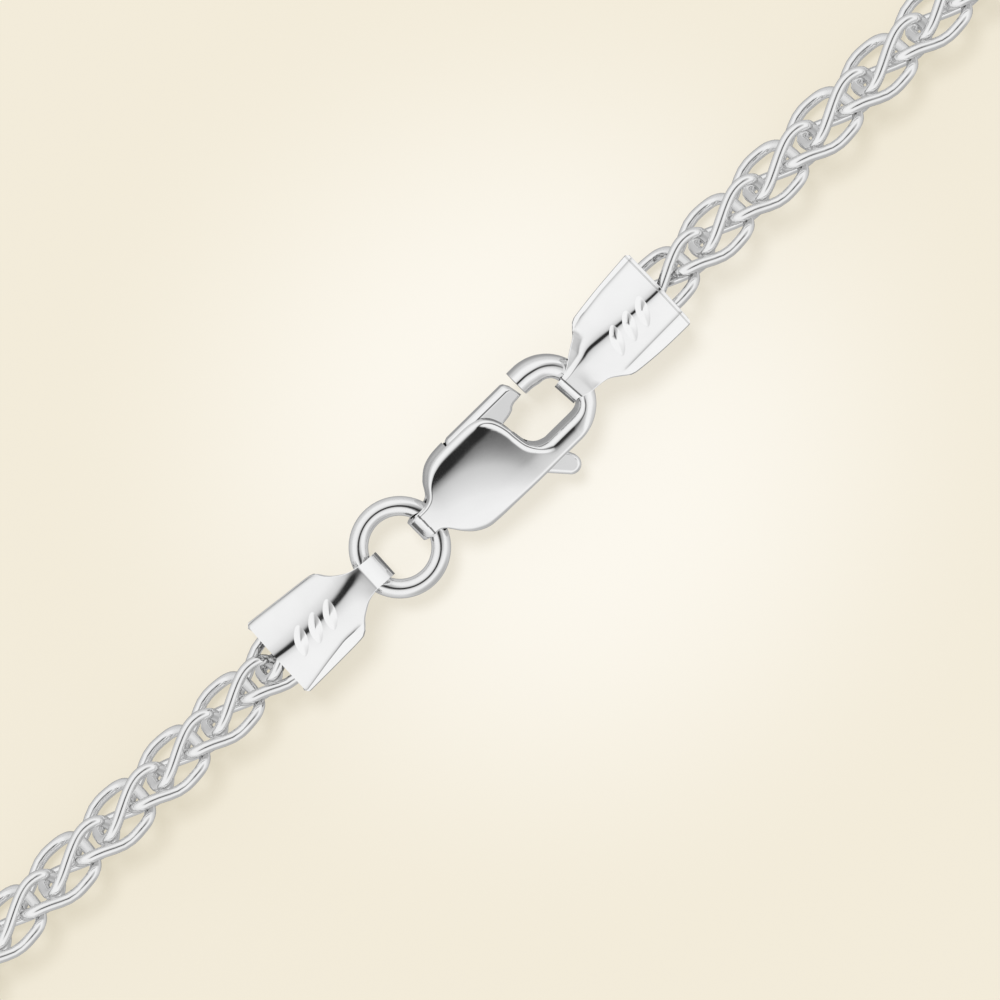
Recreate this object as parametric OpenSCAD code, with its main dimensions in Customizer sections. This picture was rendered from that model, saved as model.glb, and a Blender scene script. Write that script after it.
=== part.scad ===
// Wheat chain necklace in white gold, laid flat as one closed loop, with a lobster clasp.
// X runs along the front stretch towards the clasp's own end cap, Z is up from the surface.

/* [Necklace] */
// Whole length of the closed necklace, clasp included
necklace_length = 457; // [400:1:620]
// Length of the two straight stretches of the loop
straight_length = 80; // [74:1:110]

/* [Chain] */
// Overall width across the woven chain
chain_width = 3.05; // [3:0.01:3.15]
// Diameter of the links' wire
wire_d = 0.57; // [0.5:0.01:0.58]
// Overall length of one link
link_length = 4.97; // [4.96:0.01:5.1]
// Overall width of one link at its head
link_width = 3.29; // [3.2:0.01:3.35]
// Distance from one link to the next along the chain
link_pitch = 1.84; // [1.82:0.01:1.9]
// Width of a link's tail end as a share of its head end
tail_share = 0.9; // [0.85:0.01:1]
// Turn of a link's plane from its head to its tail
link_twist = 62; // [58:1:64]
// Turn of the whole chain about its own line
chain_roll = -77; // [-90:1:-60]
// Links made one by one on each side of the clasp
shown_links = 13; // [6:1:16]
// Length of chain held inside the clasp's cap
chain_in_clasp_cap = 3; // [2.8:0.05:3.2]
// Length of chain held inside the ring's cap
chain_in_ring_cap = 1.9; // [1.7:0.05:2.1]

/* [End caps] */
// Width of an end cap at its open mouth
cap_mouth_w = 4.5; // [4.3:0.05:5.5]
// Width of an end cap at its shoulder
cap_shoulder_w = 3.76; // [3.7:0.02:4.2]
// Thickness of an end cap from front face to back face
cap_t = 3.7; // [3.7:0.05:4.2]
// Thickness of the folded sheet
sheet_t = 0.2; // [0.15:0.01:0.22]
// Length of the straight box part
cap_box_l = 4; // [3.8:0.05:4.1]
// Length of the curved neck between the box and the tongue
cap_neck_l = 1.4; // [1.2:0.05:1.6]
// Distance from the mouth to the middle of the wire that the tongue goes round
cap_reach = 5.95; // [5.8:0.05:6.6]
// Width of the tongue
tongue_w = 1.4; // [1.2:0.02:1.44]
// Height of the raised grains on the front face
grain_h = 0.12; // [0.08:0.01:0.2]

/* [Jump ring] */
// Outer diameter of the jump ring
ring_od = 4.95; // [4.8:0.05:6]
// Diameter of the jump ring's wire
ring_wire_d = 0.95; // [0.8:0.05:1]

/* [Clasp] */
// Outer width of the clasp across its bow and body
clasp_w = 4.6; // [4.6:0.05:5.2]
// Width of the bow's band
bow_band = 1.05; // [0.95:0.01:1.1]
// Thickness of the bow
bow_t = 1.9; // [1.7:0.05:2]
// Distance from the bow's centre to the floor of the opening
opening_drop = 2.2; // [2.1:0.05:2.3]
// Distance from the bow's centre to the wire held in the tail
tail_reach = 7.96; // [7.9:0.02:8.4]
// Thickness of the clasp's body
body_t = 2.5; // [2.4:0.05:2.8]
// Thickness of the lever's gate
lever_t = 1.4; // [1.2:0.05:1.5]
// Thickness of the lever's trigger
trigger_t = 1; // [0.8:0.05:1.1]
// Width of the tail loop
tail_w = 1.2; // [1:0.05:1.3]
// How far the trigger's tip stands from the clasp's middle line
trigger_reach = 3.42; // [3.3:0.02:3.7]
// Diameter of the lever's pivot pin
pin_d = 0.7; // [0.5:0.05:0.8]
// Sideways shift of the clasp and the jump ring from the chain's line
clasp_shift = 0.25; // [0:0.05:0.4]
// Further sideways shift of the clasp cap's tongue on the bow
tongue_shift = 0.2; // [0:0.05:0.25]
// Turn of the clasp about its own length as it lies
clasp_roll = 8; // [0:0.5:9]

/* [Hidden] */
$fn = 72;
// Colour of polished white gold, and of the pin
gold = [0.86, 0.87, 0.89];
pin_grey = [0.72, 0.73, 0.76];
// Clearances between pieces
slot_gap = 0.08;
pin_gap = 0.05;
seat_gap = 0.02;
run_gap = 0.15;
loop_gap = 0.07;
// Overlap that joins the shapes of one piece
join = 0.05;
// Facets of a link, of its wire and of the plain run
link_sides = 16;
wire_sides = 6;
run_sides = 8;
// Spacing of the plain run's rings, in chain widths
run_step = 2.5;
// Roundness of a link's outline, where 2 is an ellipse
link_power = 2.5;
// Share of a link's length that stays flat before it turns
flat_share = 0.2;
// Stretch over which the chain comes up from the surface to the caps' middle height
rise_l = 45;

// Link sizes measured to the middle of the wire
link_core_l = link_length - wire_d;
head_r = (link_width - wire_d) / 2;
tail_r = head_r * tail_share;

// The clasp's own line, from the ring cap's mouth to the clasp cap's mouth
bow_r = clasp_w / 2;
bow_inner = bow_r - bow_band;
bow_mid = bow_r - bow_band / 2;
ring_mid_r = (ring_od - ring_wire_d) / 2;
ring_turn = asin(clasp_shift / cap_reach);
clasp_turn = asin((clasp_shift + tongue_shift) / cap_reach);
ring_cap_run = cap_reach * cos(ring_turn);
clasp_cap_run = cap_reach * cos(clasp_turn);
clasp_half = (ring_cap_run + clasp_cap_run + bow_mid + tail_reach + 2 * ring_mid_r) / 2;
bow_x = clasp_half - clasp_cap_run - bow_mid;
ring_x = bow_x - tail_reach - ring_mid_r;
mid_z = cap_t / 2;

// The loop: two straights joined by two half circles
bend_r = (necklace_length - 2 * straight_length) / (2 * PI);
bend_l = PI * bend_r;
chain_l = necklace_length - 2 * clasp_half;
trigger_low = clasp_shift + trigger_reach * cos(clasp_roll) + trigger_t / 2 * sin(clasp_roll);
loop_y = (trigger_low - chain_width / 2) / 2;
front_y = loop_y - bend_r;
clasp_y = front_y - clasp_shift;

// Places of the links, counted from the mouth of the clasp's cap
first_top = link_length - wire_d / 2 - chain_in_clasp_cap;
last_top = chain_l + chain_in_ring_cap - wire_d / 2;
link_count = round((last_top - first_top) / link_pitch) + 1;
pitch = (last_top - first_top) / (link_count - 1);

// The pivot and the room for the lever, from the bow's centre
pivot = [-opening_drop - 2.49, 0.53];
hub_r = pin_d / 2 + 0.5;
slot_floor = -opening_drop - 2.78;
slot_t = lever_t + 2 * slot_gap;
trigger_slot_t = trigger_t + 2 * slot_gap;
trigger_slot_top = -1;
arm_end = -0.35;
round_x = -opening_drop - 3.4;
bevel_w = 0.38;
bevel_t = 0.3;

function ease(u) = let (t = min(1, max(0, u))) t * t * (3 - 2 * t);
function link_turn(back, hand) =
    chain_roll + hand * link_twist * (1 - ease((back - flat_share) / (1 - flat_share)));
function shaped(v) = sign(v) * pow(abs(v), 2 / link_power);
function unit(v) = v / norm(v);
function wrap(i, n) = (i + n) % n;

// Place and heading along the loop, from the middle of the clasp
function loop_place(q) =
    let (h = straight_length / 2, a = q - h, b = a - bend_l, c = b - straight_length, d = c - bend_l)
    a <= 0 ? [q, front_y, 0] :
    b <= 0 ? [h + bend_r * sin(a / bend_r * 180 / PI), loop_y - bend_r * cos(a / bend_r * 180 / PI),
              a / bend_r * 180 / PI] :
    c <= 0 ? [h - b, loop_y + bend_r, 180] :
    d <= 0 ? [-h - bend_r * sin(c / bend_r * 180 / PI), loop_y + bend_r * cos(c / bend_r * 180 / PI),
              180 + c / bend_r * 180 / PI] :
    [-h + d, front_y, 360];

// Height of the chain's line, which comes up where the chain enters a cap
function chain_z(s) =
    let (from_cap = min(s, chain_l - s))
    chain_width / 2 + (mid_z - chain_width / 2) * ease(1 - from_cap / rise_l);

// One point of a link's wire line: right of the chain, down through it, and back from its head
function link_point(i, hand) =
    let (
        a = 360 * i / link_sides,
        back = (1 - shaped(cos(a))) / 2,
        half = shaped(sin(a)) * (head_r + (tail_r - head_r) * ease(back)),
        turn = link_turn(back, hand)
    )
    [half * cos(turn), half * sin(turn), -back * link_core_l];

function link_plane(i, hand) =
    let (turn = link_turn((1 - shaped(cos(360 * i / link_sides))) / 2, hand))
    [-sin(turn), cos(turn), 0];

// Points round the wire at one place of a link
function link_ring(i, hand) =
    let (
        here = link_point(i, hand),
        along = unit(link_point(i + 1, hand) - link_point(i - 1, hand)),
        flat = link_plane(i, hand),
        out = unit(flat - (flat * along) * along),
        over = cross(along, out)
    )
    [for (j = [0:wire_sides - 1])
        let (w = 360 * (j + 0.5) / wire_sides)
        here + wire_d / 2 * (cos(w) * out + sin(w) * over)];

// Puts a point of a link on the loop, with the head at s
function on_loop(p, s) =
    let (
        mid = s - link_core_l / 2,
        place = loop_place(mid + clasp_half),
        ahead = [cos(place[2]), sin(place[2]), 0],
        right = [ahead[1], -ahead[0], 0]
    )
    [place[0], place[1], chain_z(mid)] + (p[2] + link_core_l / 2) * ahead + p[0] * right - [0, 0, p[1]];

// Triangles of a closed wire
function wire_faces(rings, sides) = [
    for (i = [0:rings - 1], j = [0:sides - 1])
        let (a = i * sides + j, b = i * sides + wrap(j + 1, sides),
             c = wrap(i + 1, rings) * sides + j, d = wrap(i + 1, rings) * sides + wrap(j + 1, sides))
        each [[a, b, d], [a, d, c]]
];

module chain_link(k) {
    hand = k % 2 == 0 ? 1 : -1;
    points = [for (i = [0:link_sides - 1]) each [for (p = link_ring(i, hand)) on_loop(p, first_top + k * pitch)]];
    polyhedron(points, wire_faces(link_sides, wire_sides));
}

// The woven links on both sides of the clasp, each linked with the next two
module chain_links() {
    color(gold) {
        for (k = [0:shown_links - 1]) chain_link(k);
        for (k = [link_count - shown_links:link_count - 1]) chain_link(k);
    }
}

// The rest of the chain as one plain run of the chain's own thickness
run_start = first_top + (shown_links - 1) * pitch + wire_d / 2 + run_gap;
run_end = first_top + (link_count - shown_links) * pitch - link_core_l - wire_d / 2 - run_gap;
run_rings = ceil((run_end - run_start) / (run_step * chain_width)) + 1;

function run_ring(i) =
    let (
        s = run_start + (run_end - run_start) * i / (run_rings - 1),
        place = loop_place(s + clasp_half),
        right = [sin(place[2]), -cos(place[2]), 0]
    )
    [for (j = [0:run_sides - 1])
        let (w = 360 * j / run_sides)
        [place[0], place[1], chain_z(s)] + chain_width / 2 * (cos(w) * right + [0, 0, sin(w)])];

module chain_run() {
    last = (run_rings - 1) * run_sides;
    sides = [for (i = [0:run_rings - 2], j = [0:run_sides - 1])
        let (a = i * run_sides + j, b = i * run_sides + wrap(j + 1, run_sides))
        each [[a, b + run_sides, b], [a, a + run_sides, b + run_sides]]];
    start_face = [for (j = [1:run_sides - 2]) [0, j, j + 1]];
    end_face = [for (j = [1:run_sides - 2]) [last, last + j + 1, last + j]];
    color(gold)
        polyhedron([for (i = [0:run_rings - 1]) each run_ring(i)], concat(sides, start_face, end_face));
}

// Outline of a cap's tongue from above, from the box's shoulder to past its loop
module tongue_plan() {
    bend = 1.66;
    neck_x = cap_box_l + cap_neck_l;
    neck_half = tongue_w / 2 + bend - sqrt(bend * bend - cap_neck_l * cap_neck_l);
    difference() {
        translate([cap_box_l - join, -neck_half]) square([cap_neck_l + join, 2 * neck_half]);
        for (side = [-1, 1]) translate([neck_x, side * (tongue_w / 2 + bend)]) circle(bend);
    }
    translate([neck_x - join, -tongue_w / 2]) square([3, tongue_w]);
}

// A loop seen from the side: two round ends and the straight between them
module loop_side(r, rise) {
    for (side = [-1, 1]) translate([cap_reach, side * rise]) circle(r);
    if (rise > 0) translate([cap_reach - r, -rise]) square([2 * r, 2 * rise]);
}

// The tongue seen from the side, with a loop of the given inner radius and rise
module tongue_side(loop_r, rise) {
    face = cap_t / 2;
    inner = face - sheet_t;
    difference() {
        union() {
            polygon([
                [0, -face], [cap_box_l, -face], [cap_reach, -loop_r - sheet_t - rise],
                [cap_reach, loop_r + sheet_t + rise], [cap_box_l, face], [0, face]
            ]);
            loop_side(loop_r + sheet_t, rise);
        }
        polygon([
            [-1, -inner], [cap_box_l, -inner], [cap_reach, -loop_r - rise],
            [cap_reach, loop_r + rise], [cap_box_l, inner], [-1, inner]
        ]);
        loop_side(loop_r, rise);
    }
}

// Corners of the box across the chain, smaller by the sheet on its inside
function box_ring(x, half_w, inside) =
    let (w = half_w - inside, t = cap_t / 2 - inside, edge_w = 0.42 - 0.3 * inside, edge_t = 0.7 - 0.5 * inside)
    [for (c = [
        [w, -t + edge_t], [w, t - edge_t], [w - edge_w, t], [edge_w - w, t],
        [-w, t - edge_t], [-w, edge_t - t], [edge_w - w, -t], [w - edge_w, -t]
    ]) [x, c[0], c[1]]];

// The cap's box: a tapered tube with bevelled edges
module cap_box() {
    points = concat(
        box_ring(0, cap_mouth_w / 2, 0), box_ring(cap_box_l, cap_shoulder_w / 2, 0),
        box_ring(cap_box_l, cap_shoulder_w / 2, sheet_t), box_ring(0, cap_mouth_w / 2, sheet_t)
    );
    polyhedron(points, [for (i = [0:3], j = [0:7])
        let (a = 8 * i + j, b = 8 * i + wrap(j + 1, 8), c = 8 * wrap(i + 1, 4) + j, d = 8 * wrap(i + 1, 4) + wrap(j + 1, 8))
        each [[a, d, b], [a, c, d]]]);
}

// Three slanted grains in low relief, along the middle of the front face
module cap_grains() {
    grain_l = 1.3;
    grain_r = 0.85;
    for (i = [-1:1])
        translate([cap_box_l * 0.55 + i * 0.9, 0.2, cap_t / 2 - join])
            rotate([0, 0, 60])
                linear_extrude(grain_h + join)
                    intersection_for(side = [-1, 1])
                        translate([0, side * sqrt(grain_r * grain_r - grain_l * grain_l / 4)]) circle(grain_r);
}

// An end cap with its mouth at the origin and its tongue towards +X
module end_cap(loop_r, rise) {
    cap_box();
    intersection() {
        translate([0, 0, -cap_t]) linear_extrude(2 * cap_t) tongue_plan();
        translate([0, cap_mouth_w, 0]) rotate([90, 0, 0]) linear_extrude(2 * cap_mouth_w) tongue_side(loop_r, rise);
    }
    cap_grains();
}

module ring_end_cap() {
    loop_r = ring_wire_d / 2 + 0.3;
    color(gold)
        translate([-clasp_half, front_y, mid_z])
            rotate([0, 0, -ring_turn])
                end_cap(loop_r, 0);
}

module clasp_end_cap() {
    loop_r = bow_band / 2 + 0.2;
    rise = bow_t / 2 - 0.42;
    color(gold)
        translate([clasp_half, front_y, mid_z])
            rotate([0, 0, 180 + clasp_turn])
                end_cap(loop_r, rise);
}

module jump_ring() {
    color(gold)
        translate([ring_x, clasp_y, mid_z])
            rotate_extrude() translate([ring_mid_r, 0]) circle(ring_wire_d / 2);
}

// Puts the clasp's pieces where they lie, with the bow's centre at their origin
module clasp_place() {
    translate([bow_x, clasp_y, mid_z]) rotate([clasp_roll, 0, 0]) children();
}

module plate(t) {
    translate([0, 0, -t / 2]) linear_extrude(t) children();
}

// The opening inside the bow, wide open at the left where the gate closes it
module bow_opening() {
    corner = 0.25;
    low = 0.7;
    translate([-opening_drop, -bow_inner + low]) square([opening_drop + bow_inner - corner, 2 * bow_inner - low]);
    translate([-opening_drop + low, -bow_inner]) square([opening_drop + bow_inner - corner - low, 2 * bow_inner]);
    translate([0, -bow_inner + corner]) square([bow_inner, 2 * (bow_inner - corner)]);
    for (side = [-1, 1]) translate([bow_inner - corner, side * (bow_inner - corner)]) circle(corner);
    translate([-opening_drop + low, -bow_inner + low]) circle(low);
}

module bow_plan() {
    difference() {
        union() {
            circle(bow_r);
            translate([-opening_drop - 1, -bow_r]) square([opening_drop + 1, bow_r]);
            translate([arm_end, 0]) square([-arm_end, bow_r]);
        }
        bow_opening();
        polygon([
            [arm_end, 0], [arm_end, bow_inner], [arm_end - 0.2, bow_r + 1],
            [-bow_r - 1, bow_r + 1], [-bow_r - 1, 0]
        ]);
    }
}

// A prism along X that takes the upper edge off a straight arm whose edge lies at y
module arm_bevel(y, side) {
    rotate([90, 0, 90])
        translate([0, 0, -opening_drop - 2])
            linear_extrude(opening_drop + 2)
                polygon([
                    [y, bow_t / 2 - bevel_t], [y + side * bevel_w, bow_t / 2],
                    [y + side * bevel_w, bow_t / 2 + 0.2], [y - side * 0.2, bow_t / 2 + 0.2],
                    [y - side * 0.2, bow_t / 2 - bevel_t]
                ]);
}

// The bow with its upper and lower edges taken off
module bow() {
    difference() {
        plate(bow_t) bow_plan();
        for (face = [0, 1])
            mirror([0, 0, face]) {
                rotate([0, 0, -90])
                    rotate_extrude(angle = 180)
                        polygon([
                            [bow_r, bow_t / 2 - bevel_t], [bow_r + 0.2, bow_t / 2 - bevel_t],
                            [bow_r + 0.2, bow_t / 2 + 0.2], [bow_r - bevel_w, bow_t / 2 + 0.2],
                            [bow_r - bevel_w, bow_t / 2]
                        ]);
                arm_bevel(-bow_r, 1);
                arm_bevel(bow_r, -1);
                translate([0, bow_inner, 0])
                    rotate([90, 0, 0])
                        linear_extrude(2 * bow_inner)
                            polygon([
                                [bow_inner, bow_t / 2 - bevel_t], [bow_inner + bevel_w, bow_t / 2],
                                [bow_inner + bevel_w, bow_t / 2 + 0.2], [bow_inner - 0.2, bow_t / 2 + 0.2],
                                [bow_inner - 0.2, bow_t / 2 - bevel_t]
                            ]);
            }
    }
}

// The body seen from above: square-shouldered at the right, round at the left, narrowing to the tail
module body_plan() {
    corner = 1.5;
    end_r = 1.6;
    end_y = bow_r - end_r;
    translate([round_x, -bow_r]) square([-opening_drop - round_x, 2 * bow_r - corner]);
    translate([round_x, 0]) square([-opening_drop - corner - round_x, bow_r]);
    translate([-opening_drop - corner, bow_r - corner]) circle(corner);
    for (side = [-1, 1]) translate([round_x, side * end_y]) circle(end_r);
    polygon([
        [round_x, -bow_r + 0.3], [round_x - 1.22, -end_y - 1.03], [round_x - 2.2, -tail_w / 2],
        [round_x - 2.4, -tail_w / 2], [round_x - 2.4, tail_w / 2], [round_x - 2.2, tail_w / 2],
        [round_x - 1.22, end_y + 1.03], [round_x, bow_r - 0.3]
    ]);
}

// Room for the lever's gate: open at the left and at the top, with a round seat at the pivot
module gate_slot() {
    translate([slot_floor, -bow_inner]) square([-opening_drop - slot_floor + 1, bow_inner + bow_r + 1]);
    translate(pivot) circle(hub_r + slot_gap);
}

// Room for the trigger, out through the right side
module trigger_slot() {
    translate([slot_floor, -bow_r - 1]) square([-slot_floor + trigger_slot_top, bow_r + 1]);
}

// The tail: a round loop whose bore takes the jump ring, blended into the body
module tail_loop(loop_r) {
    outer = loop_r + 0.25;
    translate([-tail_reach, tail_w / 2, 0])
        rotate([90, 0, 0])
            linear_extrude(tail_w) {
                circle(outer);
                translate([0, -outer]) square([1, 2 * outer]);
            }
}

// Room in the body's narrow end for the jump ring that runs through the tail
module ring_room() {
    translate([-tail_reach - ring_mid_r, 0, 0])
        rotate([-clasp_roll, 0, 0])
            rotate_extrude() translate([ring_mid_r, 0]) circle(ring_wire_d / 2 + 0.15);
}

module clasp_body() {
    loop_r = ring_wire_d / 2 + 0.2;
    color(gold)
        clasp_place()
            difference() {
                union() {
                    bow();
                    plate(body_t) body_plan();
                    tail_loop(loop_r);
                }
                plate(slot_t) gate_slot();
                plate(trigger_slot_t) trigger_slot();
                translate([pivot[0], pivot[1], 0])
                    cylinder(h = slot_t + 0.5, d = pin_d + 2 * seat_gap, center = true);
                translate([-tail_reach, tail_w, 0]) rotate([90, 0, 0]) cylinder(h = 2 * tail_w, r = loop_r);
                ring_room();
            }
}

// The gate seen from above, with the hub that turns on the pin
module gate_plan() {
    base = slot_floor + slot_gap;
    translate(pivot) circle(hub_r);
    polygon([
        [base, pivot[1]], [base, bow_r - 0.05], [arm_end - 0.6, bow_r - 0.05], [arm_end - 0.37, bow_r - 0.45],
        [arm_end - 0.27, bow_inner - 0.06], [arm_end - 0.8, bow_inner - 0.1], [arm_end - 1.1, bow_inner - 0.24],
        [arm_end - 1.45, bow_inner - 0.38], [-opening_drop - 0.15, bow_inner - 0.45], [-opening_drop - 0.15, 0],
        pivot + [0.3, -0.75]
    ]);
}

// The trigger seen from above, from the hub to its round tip
module trigger_plan() {
    tip = [-opening_drop + 0.9, -trigger_reach + 0.47];
    translate(tip) circle(0.47);
    polygon([
        pivot + [0.2, 0.5], [-opening_drop - 0.15, 0.3], [-opening_drop - 0.15, -0.6],
        [-opening_drop - 0.1, -bow_inner - 0.05], [-opening_drop + 0.45, -bow_inner - 0.55],
        [-opening_drop + 1.1, -bow_r], tip + [0.47, 0], tip + [-0.38, -0.276],
        [-opening_drop - 0.22, -bow_r], [-opening_drop - 1, -1.2], pivot + [0.75, -0.95], pivot + [-0.2, -0.75]
    ]);
}

module clasp_lever() {
    color(gold)
        clasp_place()
            difference() {
                union() {
                    plate(lever_t) gate_plan();
                    plate(trigger_t) trigger_plan();
                }
                translate([pivot[0], pivot[1], 0])
                    cylinder(h = 2 * lever_t, d = pin_d + 2 * pin_gap, center = true);
            }
}

module clasp_pin() {
    color(pin_grey)
        clasp_place()
            translate([pivot[0], pivot[1], 0]) cylinder(h = slot_t + 0.4, d = pin_d, center = true);
}

chain_links();
chain_run();
ring_end_cap();
clasp_end_cap();
jump_ring();
clasp_body();
clasp_lever();
clasp_pin();
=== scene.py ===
"""Looks of the wheat chain necklace: mirror-polished white gold on a pale floor, seen from straight above."""
import math

import bmesh
import bpy
import numpy as np
from mathutils import Matrix


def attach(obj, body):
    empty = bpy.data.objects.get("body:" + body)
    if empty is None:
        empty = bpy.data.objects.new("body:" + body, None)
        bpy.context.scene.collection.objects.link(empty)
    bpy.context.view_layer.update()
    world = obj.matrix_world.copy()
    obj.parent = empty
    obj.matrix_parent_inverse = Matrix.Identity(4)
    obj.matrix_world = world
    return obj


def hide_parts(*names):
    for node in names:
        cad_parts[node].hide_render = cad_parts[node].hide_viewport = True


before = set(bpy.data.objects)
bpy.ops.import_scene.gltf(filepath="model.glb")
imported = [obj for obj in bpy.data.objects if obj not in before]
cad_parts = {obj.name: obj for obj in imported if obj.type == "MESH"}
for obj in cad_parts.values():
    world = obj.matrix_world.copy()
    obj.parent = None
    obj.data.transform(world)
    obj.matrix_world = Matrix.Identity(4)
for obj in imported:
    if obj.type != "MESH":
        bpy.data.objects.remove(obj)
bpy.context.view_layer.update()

MM = 0.001

# Sizes of the necklace, in millimetres
NECKLACE_L = 457.0
STRAIGHT_L = 80.0
CHAIN_W = 3.05
WIRE_D = 0.57
PITCH = 1.84
LINKS_EACH_SIDE = 13
CAP_T = 3.7
CAP_BOX_L = 4.0
CAP_REACH = 5.95
SHEET_T = 0.2
RING_OD = 4.95
RING_WIRE = 0.95
BOW_R = 2.3
BOW_INNER = 1.25
TAIL_REACH = 7.96
CLASP_SHIFT = 0.25
TONGUE_SHIFT = 0.2
CLASP_ROLL = 8.0
PIVOT = (-4.69, 0.53)
TRIGGER_REACH = 3.42
TRIGGER_HALF_T = 0.5

# Places in the lists for a cap and for the clasp's body of the satin metal, darker as painted shade, and of
# the dark metal that paints lines of shade
SATIN_AND_SHADE = 1
PAINTED_SHADE = 2

# The clasp's own line, worked out as in the part's source
BOW_MID = (BOW_R + BOW_INNER) / 2
RING_MID_R = (RING_OD - RING_WIRE) / 2
RING_TURN = math.asin(CLASP_SHIFT / CAP_REACH)
CLASP_TURN = math.asin((CLASP_SHIFT + TONGUE_SHIFT) / CAP_REACH)
CLASP_CAP_RUN = CAP_REACH * math.cos(CLASP_TURN)
CLASP_HALF = (CAP_REACH * math.cos(RING_TURN) + CLASP_CAP_RUN + BOW_MID + TAIL_REACH + 2 * RING_MID_R) / 2
BOW_X = CLASP_HALF - CLASP_CAP_RUN - BOW_MID
RING_X = BOW_X - TAIL_REACH - RING_MID_R
MID_Z = CAP_T / 2
BEND_R = (NECKLACE_L - 2 * STRAIGHT_L) / (2 * math.pi)
BEND_L = math.pi * BEND_R
CHAIN_L = NECKLACE_L - 2 * CLASP_HALF
ROLL = math.radians(CLASP_ROLL)
TRIGGER_LOW = CLASP_SHIFT + TRIGGER_REACH * math.cos(ROLL) + TRIGGER_HALF_T * math.sin(ROLL)
LOOP_Y = (TRIGGER_LOW - CHAIN_W / 2) / 2
FRONT_Y = LOOP_Y - BEND_R
CLASP_Y = FRONT_Y - CLASP_SHIFT


def add(tree, kind, inputs=None, **settings):
    """Adds a node with its settings, and sets or links its inputs."""
    node = tree.nodes.new(kind)
    for name, value in settings.items():
        setattr(node, name, value)
    for name, value in (inputs or {}).items():
        if isinstance(value, bpy.types.NodeSocket):
            tree.links.new(value, node.inputs[name])
        else:
            node.inputs[name].default_value = value
    return node


def maths(tree, operation, *values):
    """Result of a maths node with these values or sockets."""
    return add(tree, "ShaderNodeMath", dict(enumerate(values)), operation=operation).outputs[0]


def ramp(tree, value, start, end, low, high, kind="SMOOTHSTEP"):
    """Result of a value mapped from one range to another."""
    span = {"Value": value, "From Min": start, "From Max": end, "To Min": low, "To Max": high}
    return add(tree, "ShaderNodeMapRange", span, interpolation_type=kind).outputs[0]


def mixed(tree, factor, first, second, blend="MIX"):
    """Colour result of a mix of two colours or sockets."""
    return add(tree, "ShaderNodeMix", {"Factor": factor, 6: first, 7: second}, data_type="RGBA",
               blend_type=blend).outputs[2]


def colour(code):
    """Linear colour of an sRGB hex value."""
    parts = [int(code[i:i + 2], 16) / 255 for i in (1, 3, 5)]
    return tuple(p / 12.92 if p <= 0.04045 else ((p + 0.055) / 1.055) ** 2.4 for p in parts) + (1.0,)


def ease(u):
    """Soft step from 0 to 1."""
    t = np.clip(u, 0.0, 1.0)
    return t * t * (3 - 2 * t)


def white_gold(name, tones, roughness, polish_mm, haze_mm, depth_mm):
    """White gold under rhodium: bright neutral metal whose polish leaves faint haze and fine waves."""
    metal = bpy.data.materials.new(name)
    metal.use_nodes = True
    tree = metal.node_tree
    tree.nodes.clear()
    place = add(tree, "ShaderNodeTexCoord").outputs["Object"]
    haze = add(tree, "ShaderNodeTexNoise", {"Vector": place, "Scale": 1 / (haze_mm * MM), "Detail": 3.0})
    swirl = add(tree, "ShaderNodeTexNoise", {"Vector": place, "Scale": 1 / (polish_mm * MM), "Detail": 4.0,
                                             "Roughness": 0.65})
    cloud = haze.outputs["Fac"]
    wave = add(tree, "ShaderNodeBump", {"Height": swirl.outputs["Fac"], "Strength": 0.5,
                                        "Distance": depth_mm * MM})
    shader = add(tree, "ShaderNodeBsdfPrincipled", {
        "Base Color": mixed(tree, cloud, colour(tones[0]), colour(tones[1])),
        "Metallic": 1.0,
        "Roughness": ramp(tree, cloud, 0.35, 0.75, roughness[0], roughness[1], "LINEAR"),
        "Normal": wave.outputs["Normal"]})
    add(tree, "ShaderNodeOutputMaterial", {"Surface": shader.outputs["BSDF"]})
    return metal


def in_scene(name, data):
    """A new object with this data, linked to the scene."""
    thing = bpy.data.objects.new(name, data)
    bpy.context.scene.collection.objects.link(thing)
    return thing


def new_object(name, points, faces, edges=()):
    """A new mesh object in the scene."""
    mesh = bpy.data.meshes.new(name)
    mesh.from_pydata([tuple(map(float, p)) for p in points], edges, faces)
    return in_scene(name, mesh)


def outwards(mesh, gap=1e-5):
    """Merges points closer than the gap and turns the faces outwards."""
    work = bmesh.new()
    work.from_mesh(mesh)
    bmesh.ops.remove_doubles(work, verts=work.verts, dist=gap)
    bmesh.ops.recalc_face_normals(work, faces=work.faces)
    work.to_mesh(mesh)
    work.free()


def settle(thing, place, metals, body, node, sharp):
    """Sets a shape made in millimetres in its place in metres, riding on its body for a CAD node."""
    thing.data.transform(Matrix.Scale(MM, 4) @ place)
    finish_mesh(thing.data, metals, sharp)
    stand_for(thing, body, node)


def finish_mesh(mesh, metals, sharp):
    """Cleans a mesh in metres, coats it if it is bare, and smooths all but its sharp edges."""
    outwards(mesh, 1e-7)
    if not mesh.materials:
        for metal in metals:
            mesh.materials.append(metal)
    mesh.shade_smooth()
    mesh.set_sharp_from_angle(angle=math.radians(sharp))


def stand_for(thing, body, node):
    """Lets an object ride on its body in place of a CAD node."""
    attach(thing, body)
    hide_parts(node)


def baked(thing):
    """Turns the object's modifiers into a plain mesh."""
    bpy.context.view_layer.update()
    graph = bpy.context.evaluated_depsgraph_get()
    mesh = bpy.data.meshes.new_from_object(thing.evaluated_get(graph))
    thing.modifiers.clear()
    old = thing.data
    thing.data = mesh
    bpy.data.meshes.remove(old)


def circle(middle, radius, count):
    """Points evenly round a circle in plan."""
    return [(middle[0] + radius * math.cos(2 * math.pi * i / count),
             middle[1] + radius * math.sin(2 * math.pi * i / count)) for i in range(count)]


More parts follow.
